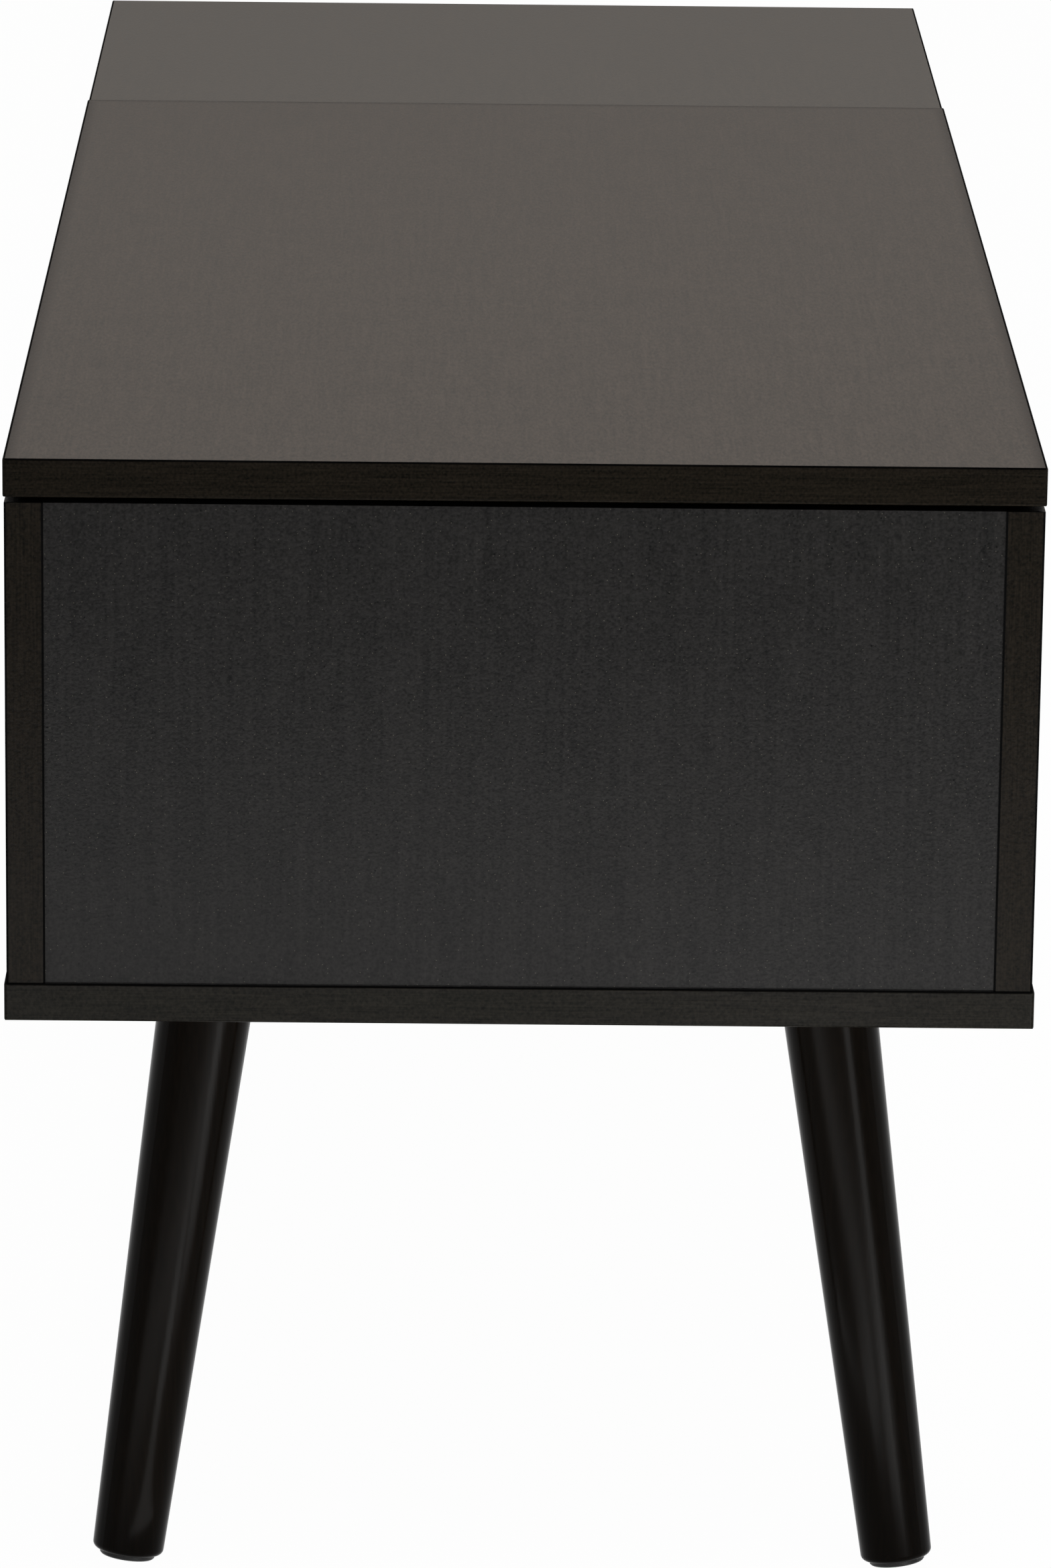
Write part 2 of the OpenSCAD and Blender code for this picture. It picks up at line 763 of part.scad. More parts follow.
// Pressed arm at its closed slope: a flat plate with bores at both ends and children's holes, and a
// channel between them, whose folded edges slope down to the plate
module link(root_gap, tip_gap) {
    half = arm_w / 2;
    fold_l = fold_to - fold_from;
    rotate([0, -closed_a, 0]) union() {
        upright(arm_at, arm_t) difference() {
            union() {
                circle(d = arm_root_d);
                translate([arm_l, 0]) circle(d = arm_w);
                translate([0, -half]) square([arm_l, arm_w]);
            }
            translate([fold_from, -half]) square([fold_l, arm_w]);
            circle(d = pin_d + 2 * root_gap);
            translate([arm_l, 0]) circle(d = pin_d + 2 * tip_gap);
            children();
        }
        intersection() {
            for (side = [0, 1]) mirror([0, 0, side]) translate([fold_from, arm_at, half])
                folded_sheet(fold_l, arm_t, half, arm_depth);
            translate([fold_from, arm_at, -half]) linear_extrude(arm_w) polygon([
                [0, 0], [fold_l, 0], [fold_l, arm_t], [fold_l - arm_depth, arm_depth],
                [arm_depth, arm_depth], [0, arm_t]
            ]);
        }
    }
}

module main_arm() {
    link(running_gap, running_gap) {
        translate([tie_at, 0]) circle(d = tie_d - 2 * tie_shoulder + 2 * fit_gap);
        translate([spring_leg_l, -coil_r]) circle(d = wire_d + 2 * fit_gap);
    }
}

module second_arm() {
    at_xz(base_2) link(running_gap, loose_gap);
}

module left_main_arm() {
    color("#3a3a3c") left_lift() main_arm();
}

module right_main_arm() {
    color("#3a3a3c") right_lift() main_arm();
}

module left_second_arm() {
    color("#3a3a3c") left_lift() second_arm();
}

module right_second_arm() {
    color("#3a3a3c") right_lift() second_arm();
}

// Bar between the main arms, shouldered against them, with a tenon riveted in each
module tie_bar() {
    left = -end_face_y + arm_face;
    right = rail_face_y - arm_face;
    at = tie_at * [cos(closed_a), sin(closed_a)];
    color("#3a3a3c") translate([pivot_x, 0, pivot_z]) at_xz(at) union() {
        rod_y(left, right, tie_d);
        rod_y(left - arm_t, right + arm_t, tie_d - 2 * tie_shoulder);
    }
}

// Folded angle with an ear that carries the two lid pivots
module lid_bracket() {
    ear = ear_d / 2;
    n = [sin(pair_a), -cos(pair_a)];
    corner = lid_under - fold_r - bracket_t;
    difference() {
        union() {
            translate([lid_1.x - bracket_back, web_at, lid_under]) intersection() {
                folded_sheet(bracket_l, bracket_t, bracket_web, bracket_flange);
                translate([bracket_l / 2, 0, -bracket_web]) linear_extrude(bracket_web)
                    rounded_rect(bracket_l, 2 * bracket_flange, plate_r);
            }
            upright(web_at, bracket_t) union() {
                translate(lid_1) circle(ear);
                translate(lid_2) circle(ear);
                polygon([
                    [lid_1.x - ear, lid_1.y], [lid_1.x - ear, corner], [lid_2.x + ear, corner],
                    [lid_2.x + ear, lid_2.y], lid_2 + ear * n, lid_1 + ear * n
                ]);
            }
        }
        for (p = [lid_1, lid_2]) at_xz(p) rod_y(web_at - past, web_face + past, pin_d + 2 * fit_gap);
        bracket_screw_places() translate([0, 0, -bracket_t - past])
            cylinder(h = bracket_t + 2 * past, d = screw_d + 2 * fit_gap);
    }
}

// Points on the underside of the lid where the bracket screws enter
module bracket_screw_places() {
    for (x = bracket_screw_at) translate([x, bracket_screw_d, lid_under]) children();
}

module left_lid_bracket() {
    color("#3a3a3c") left_lift() lid_bracket();
}

module right_lid_bracket() {
    color("#3a3a3c") right_lift() lid_bracket();
}

// Shouldered main pin with the arbor for the coil, and a plain headed second pin
module base_pins() {
    color("silver") lifts() {
        rod_y(air_gap, web_at, pin_d);
        rod_y(web_at, arbor_end, arbor_d);
        rivet_head(arbor_end, coil_head_d);
        at_xz(base_2) {
            rod_y(air_gap, web_at, pin_d);
            rivet_head(web_at, pin_head_d);
        }
    }
}

module lid_pins() {
    head_at = arm_at - air_gap;
    color("silver") lifts() for (p = [lid_1, lid_2]) at_xz(p) {
        rivet_head(head_at, pin_head_d, -1);
        rod_y(head_at, web_face, pin_d);
        rivet_head(web_face, pin_head_d);
    }
}

// Washer on a pin, in the space between two layers that starts at a distance from the board
module washer(at) {
    difference() {
        rod_y(at + washer_play, at + layer_gap - washer_play, washer_d);
        rod_y(at, at + layer_gap, pin_d + 2 * fit_gap);
    }
}

module base_washers() {
    color("#d8d4c6") lifts() for (p = [[0, 0], base_2], at = [base_plate_t, arm_face])
        at_xz(p) washer(at);
}

module lid_washers() {
    color("#d8d4c6") lifts() for (p = [lid_1, lid_2]) at_xz(p) washer(arm_face);
}

module stop_pins() {
    color("silver") lifts() at_xz(open_stop) rod_y(air_gap, arm_face, stop_d);
}

// Pins that the fixed legs of the springs bear on
module spring_anchors() {
    end = coil_end + wire_d;
    color("silver") lifts() at_xz(anchor) {
        rod_y(air_gap, end, anchor_d);
        rivet_head(end, anchor_d + 2 * wire_d);
    }
}

// Ring of a wire: its centre and the two directions that span it, with the coil angle a counted
// from the tangent point of the moving leg and y its place along the pivot
function coil_ring(a, y) =
    let (out = [cos(coil_start_a - a), 0, sin(coil_start_a - a)])
        [coil_r * out + [0, y, 0], out, [0, 1, 0]];

// Round wire through a list of rings
module wire(rings) {
    sides = 8;
    points = [
        for (ring = rings, k = [0:sides - 1])
            let (t = 360 * k / sides) ring[0] + wire_d / 2 * (cos(t) * ring[1] + sin(t) * ring[2])
    ];
    faces = concat(
        [[for (k = [0:sides - 1]) k]],
        [for (i = [0:len(rings) - 2], k = [0:sides - 1])
            let (a = i * sides + k, b = i * sides + (k + 1) % sides) [a, a + sides, b + sides, b]],
        [[for (k = [sides - 1:-1:0]) (len(rings) - 1) * sides + k]]
    );
    polyhedron(points, faces, convexity = 8);
}

// Fixed turns of each torsion spring, with the straight leg that bears on its anchor pin
module lift_springs() {
    steps = ceil(coil_a / wire_step);
    turns = [
        for (k = [0:steps])
            let (a = coil_a * k / steps) coil_ring(a, leg_wire_at + coil_pitch * (1 + a / 360))
    ];
    last = turns[steps];
    color("#8a8a8a") lifts()
        wire(concat(turns, [[last[0] - [0, 0, anchor_drop + anchor_d], last[1], last[2]]]));
}

// First turn of each torsion spring, with the leg that is hooked into the main arm
module spring_legs() {
    along = [cos(closed_a), 0, sin(closed_a)];
    start = coil_ring(0, leg_wire_at);
    tip = start[0] + spring_leg_l * along;
    hook = leg_wire_at - arm_at;
    color("#8a8a8a") lifts() wire(concat(
        [[tip - [0, hook, 0], start[1], along], [tip, start[1], along + [0, 1, 0]]],
        [for (a = [0:wire_step:hooked_a]) coil_ring(a, leg_wire_at)]
    ));
}

module base_plate_screws() {
    color("silver") lifts() for (p = base_screw_at) at_xz(p)
        translate([0, base_plate_t, 0]) rotate([-90, 0, 0]) countersunk(screw_d, screw_l);
}

module lid_bracket_screws() {
    color("silver") lifts() bracket_screw_places()
        translate([0, 0, -bracket_t]) rotate([180, 0, 0]) pan_screw();
}

bottom_panel();
bottom_edge_band();
front_panel();
back_panel();
left_end_panel();
right_end_panel();
wall_end_bands();
cross_rail();
fixed_top();
fixed_top_edge_band();
lift_lid();
lid_edge_band();
lid_bumpers();
front_left_leg();
back_left_leg();
front_right_leg();
back_right_leg();
foot_glides();
leg_plates();
hanger_bolts();
leg_plate_screws();
left_base_plate();
right_base_plate();
left_main_arm();
right_main_arm();
tie_bar();
left_second_arm();
right_second_arm();
left_lid_bracket();
right_lid_bracket();
base_pins();
base_washers();
lid_pins();
lid_washers();
stop_pins();
spring_anchors();
lift_springs();
spring_legs();
base_plate_screws();
lid_bracket_screws();
cam_locks();
cam_bolts();
dowels();
long_screws();
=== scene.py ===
import math

import bmesh
import bpy
from mathutils import Matrix, Vector
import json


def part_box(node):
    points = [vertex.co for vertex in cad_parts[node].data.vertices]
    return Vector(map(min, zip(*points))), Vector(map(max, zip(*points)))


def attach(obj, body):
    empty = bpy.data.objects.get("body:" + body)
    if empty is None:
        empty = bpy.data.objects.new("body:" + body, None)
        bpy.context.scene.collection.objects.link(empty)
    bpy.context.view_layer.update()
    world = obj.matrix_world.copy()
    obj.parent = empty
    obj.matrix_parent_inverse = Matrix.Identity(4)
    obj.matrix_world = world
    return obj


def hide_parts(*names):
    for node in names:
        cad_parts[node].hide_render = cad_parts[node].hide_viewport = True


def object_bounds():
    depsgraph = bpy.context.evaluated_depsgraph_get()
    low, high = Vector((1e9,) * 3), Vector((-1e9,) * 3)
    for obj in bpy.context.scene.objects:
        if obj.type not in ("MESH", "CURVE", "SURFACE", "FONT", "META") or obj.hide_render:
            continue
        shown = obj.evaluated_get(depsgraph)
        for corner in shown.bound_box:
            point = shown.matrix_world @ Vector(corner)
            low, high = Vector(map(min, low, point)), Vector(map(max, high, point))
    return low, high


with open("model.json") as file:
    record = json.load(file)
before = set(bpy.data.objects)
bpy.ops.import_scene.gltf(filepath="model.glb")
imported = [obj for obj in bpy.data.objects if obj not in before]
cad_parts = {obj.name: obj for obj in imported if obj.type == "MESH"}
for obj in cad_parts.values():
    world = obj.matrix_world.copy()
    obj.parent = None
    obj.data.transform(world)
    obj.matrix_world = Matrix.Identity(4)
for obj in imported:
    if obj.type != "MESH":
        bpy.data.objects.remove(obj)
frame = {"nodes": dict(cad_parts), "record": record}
cad_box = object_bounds()

# ---- Bottom panel ----
# The bottom panel carries the walls and the legs. It is 15 mm chipboard faced with black melamine
# paper, pressed against a finely grained plate: a dull black, mottled in grains of about a
# millimetre, with a few pale flecks and dark pits where paper dust lay under the resin.

MELAMINE_IOR = 1.5
BASE_BLACK = "#1b1a1a"
BASE_GREY = "#3a3939"
GRAIN_MM = 1
STREAK_MM = 2.2
STREAK_LENGTH_MM = 60
CLOUD_MM = 20
FLECK_GREY = "#4c4942"
FLECK_SPACING_MM = 5
FLECK_RADIUS_MM = 0.11
PIT_BLACK = "#060606"
PIT_SPACING_MM = 16
PIT_RADIUS_MM = 0.25
FLECK_SHARE = 0.7
PIT_SHARE = 0.6
STREAK_SHARE = 0.25
CLOUD_SHARE = 0.12
# Width and colour of the painted shade along the lid's sides and far end.
SHADED_RIM_MM = 5
PAINTED_RIM_SHADE = "#1e1713"
GLOSS_SPREAD = 0.04
RELIEF = 0.0001


def linear(hex_colour):
    """sRGB hex value as linear RGBA."""
    shares = [int(hex_colour[i:i + 2], 16) / 255 for i in (1, 3, 5)]
    return [s / 12.92 if s <= 0.04045 else ((s + 0.055) / 1.055) ** 2.4 for s in shares] + [1]


def per_metre(size_mm):
    """Texture scale at which one feature of the pattern is that many millimetres wide."""
    return 1000 / size_mm


def add(tree, kind, sockets=None, **settings):
    """Adds a shader node, sets its settings, and gives its sockets values or other nodes' outputs."""
    node = tree.nodes.new("ShaderNode" + kind)
    for name, value in settings.items():
        setattr(node, name, value)
    inputs = [socket for socket in node.inputs if socket.enabled]
    for key, value in (sockets or {}).items():
        socket = inputs[key] if isinstance(key, int) else next(s for s in inputs if s.name == key)
        if isinstance(value, bpy.types.Node):
            value = next(output for output in value.outputs if output.enabled)
        if isinstance(value, bpy.types.NodeSocket):
            tree.links.new(value, socket)
        else:
            socket.default_value = value
    return node


def new_finish(name):
    """Empty material and its node tree."""
    finish = bpy.data.materials.new(name)
    finish.use_nodes = True
    finish.node_tree.nodes.clear()
    return finish, finish.node_tree


def grains(tree, size_mm, stretch=(1, 1, 1), detail=3):
    """Noise from 0 to 1 whose features are size_mm wide, and longer by stretch along each axis."""
    place = add(tree, "TexCoord").outputs["Object"]
    scale = [per_metre(size_mm) / share for share in stretch]
    spread = add(tree, "Mapping", {"Vector": place, "Scale": scale})
    noise = add(tree, "TexNoise", {"Vector": spread, "Scale": 1, "Detail": detail, "Roughness": 0.5})
    return add(tree, "MapRange", {"Value": noise, "From Min": 0.3, "From Max": 0.7})


def long_along(axis, times):
    """Stretch that makes a pattern that many times longer along one axis of the table."""
    return [times if axis == letter else 1 for letter in "XYZ"]


def specks(tree, normal, spacing_mm, radius_mm, share):
    """Round specks on a face with that normal: 1 on a speck, 0 beside it, in a share of the cells."""
    place = add(tree, "SeparateXYZ", {"Vector": add(tree, "TexCoord").outputs["Object"]})
    across, up = [place.outputs[axis] for axis in "XYZ" if axis != normal]
    flat = add(tree, "CombineXYZ", {"X": across, "Y": up})
    cells = add(tree, "TexVoronoi", {"Vector": flat, "Scale": per_metre(spacing_mm)},
                voronoi_dimensions="2D")
    radius = radius_mm / spacing_mm
    dot = add(tree, "MapRange", {"Value": cells.outputs["Distance"], "From Min": radius,
                                 "From Max": 1.8 * radius, "To Min": 1, "To Max": 0})
    pick = add(tree, "SeparateColor", {"Color": cells.outputs["Color"]})
    kept = add(tree, "Math", {0: pick.outputs["Red"], 1: share}, operation="LESS_THAN")
    speck = add(tree, "Math", {0: dot, 1: kept}, operation="MULTIPLY")
    looks = add(tree, "SeparateXYZ", {"Vector": add(tree, "TexCoord").outputs["Normal"]})
    face = add(tree, "Math", {0: looks.outputs[normal]}, operation="ABSOLUTE")
    return add(tree, "Math", {0: speck, 1: face}, operation="MULTIPLY")


def melamine(name, dark, light, normal, along, specular, roughness, grain_length_mm=GRAIN_MM,
             shaded_rim=None):
    """Melamine faced board with the normal of its face, the axis that its faint streaks run along,
    and the highest x and y of a face whose colour gets painted shade along its sides and far end."""
    finish, tree = new_finish(name)
    grain = grains(tree, GRAIN_MM, long_along(along, grain_length_mm / GRAIN_MM))
    streak = grains(tree, STREAK_MM, long_along(along, STREAK_LENGTH_MM / STREAK_MM))
    cloud = grains(tree, CLOUD_MM)
    mottle = add(tree, "Mix", {"Factor": STREAK_SHARE, "A": grain, "B": streak})
    tone = add(tree, "Mix", {"Factor": CLOUD_SHARE, "A": mottle, "B": cloud})
    paper = add(tree, "Mix", {"Factor": tone, "A": linear(dark), "B": linear(light)}, data_type="RGBA")
    pits = specks(tree, normal, PIT_SPACING_MM, PIT_RADIUS_MM, PIT_SHARE)
    pitted = add(tree, "Mix", {"Factor": pits, "A": paper, "B": linear(PIT_BLACK)}, data_type="RGBA")
    flecks = specks(tree, normal, FLECK_SPACING_MM, FLECK_RADIUS_MM, FLECK_SHARE)
    flecked = add(tree, "Mix", {"Factor": flecks, "A": pitted, "B": linear(FLECK_GREY)},
                  data_type="RGBA")
    # Painted shade: the colour darkens over the last few millimetres of the face's sides and far end.
    if shaded_rim:
        place = add(tree, "SeparateXYZ", {"Vector": add(tree, "TexCoord").outputs["Object"]})
        aside = add(tree, "Math", {0: place.outputs["X"]}, operation="ABSOLUTE")
        rim_shade_ramps = [add(tree, "MapRange", {"Value": value, "From Min": end - SHADED_RIM_MM / 1000, "From Max": end})
                for value, end in zip((aside, place.outputs["Y"]), shaded_rim)]
        rim_shade = add(tree, "Math", {0: rim_shade_ramps[0], 1: rim_shade_ramps[1]}, operation="MAXIMUM")
        flecked = add(tree, "Mix", {"Factor": rim_shade, "A": flecked, "B": linear(PAINTED_RIM_SHADE)},
                      data_type="RGBA")
    dull = add(tree, "MapRange", {"Value": tone, "To Min": roughness - GLOSS_SPREAD,
                                  "To Max": roughness + GLOSS_SPREAD})
    relief = add(tree, "Bump", {"Height": mottle, "Strength": 0.5, "Distance": RELIEF})
    shader = add(tree, "BsdfPrincipled", {"Base Color": flecked, "Roughness": dull, "IOR": MELAMINE_IOR,
                                          "Specular IOR Level": specular, "Normal": relief})
    add(tree, "OutputMaterial", {"Surface": shader})
    return finish


def dress(finish, *nodes):
    """Gives CAD nodes their finish."""
    for node in nodes:
        for material_slot in frame["nodes"][node].material_slots:
            material_slot.material = finish


base_melamine = melamine("black_melamine_base", BASE_BLACK, BASE_GREY, "Z", "Y", 0.08, 0.3)
dress(base_melamine, "bottom_panel")

# ---- Edge banding ----
# The cut edges of the boards are closed with 1 mm black ABS edging, glued on, trimmed flush and
# eased with a cutter, which leaves a fine grain along the edge and faint chatter across it. Where
# the edging faces up, on its eased top edge and top face, it is rougher and has painted shade.

BAND_BLACK = "#040403"
BAND_BROWN = "#1c1813"
FLAT_BAND_BLACK = "#050504"
FLAT_BAND_GREY = "#1d1b17"
# Colour of the painted shade where the edging faces up, and of its dark glue lines.
SHADE_AND_GLUE_BLACK = "#010101"
BAND_GRAIN_MM = 0.7
BAND_GRAIN_LENGTH_MM = 25
CHATTER_MM = 1.1
CHATTER_SHARE = 0.6
GLUE_LINE_MM = 0.8
BAND_SPECULAR = 0.026


def edge_banding(name, dark, light, along, specular, glue_lines=()):
    """ABS edging: grain along one axis, painted shade where it faces up, dark glue lines at those
    distances from x = 0.
    """
    finish, tree = new_finish(name)
    grain = grains(tree, BAND_GRAIN_MM, long_along(along, BAND_GRAIN_LENGTH_MM / BAND_GRAIN_MM))
    chatter = grains(tree, CHATTER_MM)
    tone = add(tree, "Mix", {"Factor": CHATTER_SHARE, "A": grain, "B": chatter})
    face = add(tree, "Mix", {"Factor": tone, "A": linear(dark), "B": linear(light)}, data_type="RGBA")
    normal = add(tree, "SeparateXYZ", {"Vector": add(tree, "TexCoord").outputs["Normal"]})
    # Painted shade: the colour darkens where the edging's normal turns upward.
    shade_and_glue = add(tree, "MapRange", {"Value": normal.outputs["Z"], "From Min": 0.15, "From Max": 0.5})
    place = add(tree, "SeparateXYZ", {"Vector": add(tree, "TexCoord").outputs["Object"]})
    aside = add(tree, "Math", {0: place.outputs["X"]}, operation="ABSOLUTE")
    for distance in glue_lines:
        line = add(tree, "Math", {0: aside, 1: distance, 2: GLUE_LINE_MM / 1000}, operation="COMPARE")
        shade_and_glue = add(tree, "Math", {0: shade_and_glue, 1: line}, operation="MAXIMUM")
    colour = add(tree, "Mix", {"Factor": shade_and_glue, "A": face, "B": linear(SHADE_AND_GLUE_BLACK)}, data_type="RGBA")
    gloss = add(tree, "MapRange", {"Value": shade_and_glue, "To Min": 0.2, "To Max": 0.7})
    relief = add(tree, "Bump", {"Height": tone, "Strength": 0.4, "Distance": RELIEF})
    shader = add(tree, "BsdfPrincipled", {"Base Color": colour, "Roughness": gloss,
                                          "Specular IOR Level": specular, "Normal": relief})
    add(tree, "OutputMaterial", {"Surface": shader})
    return finish


flat_banding = edge_banding("black_abs_edging_flat", FLAT_BAND_BLACK, FLAT_BAND_GREY, "X",
                            BAND_SPECULAR)
dress(flat_banding, "bottom_edge_band")

# ---- Walls ----
# Four walls and the cross rail under the seam are the same faced board, with its faint streaks
# upright on the end panels and lengthwise on the long panels, whose ends are closed with edging.

WALL_BLACK = "#0b0b0b"
WALL_GREY = "#222120"
WALL_SPECULAR = 0.045
WALL_ROUGHNESS = 0.2

upright_melamine = melamine("black_melamine_upright", WALL_BLACK, WALL_GREY, "Y", "Z",
                            WALL_SPECULAR, WALL_ROUGHNESS)
lengthwise_melamine = melamine("black_melamine_lengthwise", WALL_BLACK, WALL_GREY, "X", "Y",
                               WALL_SPECULAR, WALL_ROUGHNESS)
strip_edges = (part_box("wall_end_bands")[1][0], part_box("left_end_panel")[1][0])
upright_banding = edge_banding("black_abs_edging_upright", BAND_BLACK, BAND_BROWN, "Z",
                               BAND_SPECULAR, strip_edges)
dress(upright_melamine, "left_end_panel", "right_end_panel", "cross_rail")
dress(lengthwise_melamine, "front_panel", "back_panel")
dress(upright_banding, "wall_end_bands")

# ---- Joining hardware ----
# Cams of die-cast zinc grip zinc plated bolts to hold the boards together, and glued beech dowels
# between them, fluted to let the glue out, keep the boards in line.

ZINC_CAST_DARK = "#7b7c7e"
ZINC_CAST_PALE = "#a3a4a3"
CAST_GRAIN_MM = 0.5
PLATING_BLUE = "#b4b8bd"
PLATING_YELLOW = "#c6c3b7"
PLATING_STAIN_MM = 6
PLATING_GRAIN_MM = 0.3
BEECH_PALE = "#cfa878"
BEECH_DARK = "#a87f52"
BEECH_GRAIN_MM = 0.5
BEECH_GRAIN_LENGTH_MM = 12
FLUTES = 20
FLUTE_DEPTH = 0.0003
DOWEL_CHAMFER = 0.001


def die_cast_zinc():
    """Matt grey metal with the fine pits of a die casting."""
    finish, tree = new_finish("die_cast_zinc")
    grain = grains(tree, CAST_GRAIN_MM)
    colour = add(tree, "Mix", {"Factor": grain, "A": linear(ZINC_CAST_DARK),
                               "B": linear(ZINC_CAST_PALE)}, data_type="RGBA")
    relief = add(tree, "Bump", {"Height": grain, "Strength": 0.5, "Distance": RELIEF})
    shader = add(tree, "BsdfPrincipled", {"Base Color": colour, "Metallic": 1, "Roughness": 0.5,
                                          "Normal": relief})
    add(tree, "OutputMaterial", {"Surface": shader})
    return finish


def plated_steel():
    """Bright zinc plating over steel, passivated: blue and yellow stains and a soft gloss."""
    finish, tree = new_finish("zinc_plated_steel")
    stain = grains(tree, PLATING_STAIN_MM)
    colour = add(tree, "Mix", {"Factor": stain, "A": linear(PLATING_BLUE), "B": linear(PLATING_YELLOW)},
                 data_type="RGBA")
    fine = grains(tree, PLATING_GRAIN_MM)
    gloss = add(tree, "MapRange", {"Value": fine, "To Min": 0.24, "To Max": 0.36})
    relief = add(tree, "Bump", {"Height": fine, "Strength": 0.15, "Distance": RELIEF})
    shader = add(tree, "BsdfPrincipled", {"Base Color": colour, "Metallic": 1, "Roughness": gloss,
                                          "Normal": relief})
    add(tree, "OutputMaterial", {"Surface": shader})
    return finish


def beech():
    """Raw turned beech, with its short grain along the dowel."""
    finish, tree = new_finish("raw_beech")
    grain = grains(tree, BEECH_GRAIN_MM, long_along("X", BEECH_GRAIN_LENGTH_MM / BEECH_GRAIN_MM))
    colour = add(tree, "Mix", {"Factor": grain, "A": linear(BEECH_PALE), "B": linear(BEECH_DARK)},
                 data_type="RGBA")
    relief = add(tree, "Bump", {"Height": grain, "Strength": 0.3, "Distance": RELIEF})
    shader = add(tree, "BsdfPrincipled", {"Base Color": colour, "Roughness": 0.65, "Normal": relief})
    add(tree, "OutputMaterial", {"Surface": shader})
    return finish


def solids(node):
    """Lowest and highest corner of each solid of a CAD node."""
    whole = bmesh.new()
    whole.from_mesh(frame["nodes"][node].data)
    bmesh.ops.remove_doubles(whole, verts=whole.verts, dist=1e-6)
    left = set(whole.verts)
    boxes = []
    while left:
        reached = [left.pop()]
        for vert in reached:
            neighbours = {edge.other_vert(vert) for edge in vert.link_edges} & left
            left -= neighbours
            reached.extend(neighbours)
        spans = [sorted(vert.co[axis] for vert in reached) for axis in range(3)]
        boxes.append((Vector([span[0] for span in spans]), Vector([span[-1] for span in spans])))
    whole.free()
    return boxes


def copies(name, template, places, finish):
    """One piece made of copies of a mesh, each put in its place by a matrix."""
    gathered = bmesh.new()
    for place in places:
        start = len(gathered.verts)
        gathered.from_mesh(template)
        gathered.verts.ensure_lookup_table()
        bmesh.ops.transform(gathered, matrix=place, verts=gathered.verts[start:])
    mesh = bpy.data.meshes.new(name)
    gathered.to_mesh(mesh)
    gathered.free()
    mesh.shade_smooth()
    mesh.set_sharp_from_angle(angle=math.radians(35))
    mesh.materials.append(finish)
    piece = bpy.data.objects.new(name, mesh)
    bpy.context.scene.collection.objects.link(piece)
    return piece


def facing(end, direction, spin=0):
    """Matrix that puts a piece's origin at a point, with its +Z turned to a direction."""
    turned = Vector(direction).to_track_quat("Z", "Y").to_matrix().to_4x4()
    return Matrix.Translation(end) @ turned @ Matrix.Rotation(spin, 4, "Z")


def fluted_dowel(length, diameter):
    """Dowel down from the origin, with flutes along it and chamfered ends."""
    shape = bmesh.new()
    radius = diameter / 2
    rings = []
    for depth, inset in ((0, DOWEL_CHAMFER), (DOWEL_CHAMFER, 0), (length - DOWEL_CHAMFER, 0),
                         (length, DOWEL_CHAMFER)):
        ring = []
        for k in range(4 * FLUTES):
            r = radius - inset - FLUTE_DEPTH * (k % 4 in (0, 1))
            turn = 2 * math.pi * k / (4 * FLUTES)
            ring.append(shape.verts.new((r * math.cos(turn), r * math.sin(turn), -depth)))
        rings.append(ring)
    for upper, lower in zip(rings, rings[1:]):
        for k in range(len(upper)):
            shape.faces.new((upper[k - 1], lower[k - 1], lower[k], upper[k]))
    shape.faces.new(rings[0])
    shape.faces.new(reversed(rings[-1]))
    mesh = bpy.data.meshes.new("fluted_dowel")
    shape.to_mesh(mesh)
    shape.free()
    return mesh


zinc_casting = die_cast_zinc()
zinc_plating = plated_steel()
dress(zinc_casting, "cam_locks")
dress(zinc_plating, "cam_bolts")

dowel_places = []
for low, high in solids("dowels"):
    size = high - low
    lying = size.x > size.z
    end = (low + high) / 2 + (Vector((size.x / 2, 0, 0)) if lying else Vector((0, 0, size.z / 2)))
    dowel_places.append(facing(end, (1, 0, 0) if lying else (0, 0, 1)))
dowel = fluted_dowel(max(size), min(size))
dowels = copies("fluted_dowels", dowel, dowel_places, beech())
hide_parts("dowels")
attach(dowels, "table")

# ---- Long screws ----
# Ten zinc plated chipboard screws come up through the bottom panel into the walls, with their cross
# recessed heads sunk flush in its underside.

THREAD_PITCH = 0.0018
THREAD_DEPTH = 0.25
THREAD_STEPS = 16
RECESS_WIDTH = 0.62
RECESS_FOOT = 0.2
RECESS_BLADE = 0.14
RECESS_DEPTH = 0.24
SPIN_STEP = 2.4


def screw(head_profile, head_d, shank_d, length):
    """Screw down from the top of its head, with a cut thread, a point and a cross recess."""
    radius = shank_d / 2
    core = radius * (1 - THREAD_DEPTH)
    head_l = -head_profile[-1][1]
    turns = int((length - head_l - shank_d) / THREAD_PITCH)
    profile = list(head_profile) + [(radius, -head_l - THREAD_PITCH / 4)]
    first = len(profile)
    for k in range(turns):
        top = -head_l - (k + 0.5) * THREAD_PITCH
        profile += [(core, top), (radius, top - THREAD_PITCH / 2)]
    last = len(profile)
    profile += [(core, -head_l - (turns + 1.5) * THREAD_PITCH), (0, -length)]
    shape = bmesh.new()
    rings = []
    for step in range(THREAD_STEPS + 1):
        share = step / THREAD_STEPS
        turn = 2 * math.pi * share
        ring = []
        for k, (r, z) in enumerate(profile):
            drop = THREAD_PITCH * share if first <= k < last else 0
            ring.append(shape.verts.new((r * math.cos(turn), r * math.sin(turn), z - drop)))
        rings.append(ring)
    for one, other in zip(rings, rings[1:]):
        for k in range(len(profile) - 1):
            shape.faces.new((one[k], one[k + 1], other[k + 1], other[k]))
    bmesh.ops.remove_doubles(shape, verts=shape.verts, dist=1e-6)
    bmesh.ops.holes_fill(shape, edges=shape.edges, sides=0)
    bmesh.ops.recalc_face_normals(shape, faces=shape.faces)
    mesh = bpy.data.meshes.new("screw")
    shape.to_mesh(mesh)
    shape.free()
    return recessed(mesh, head_d)


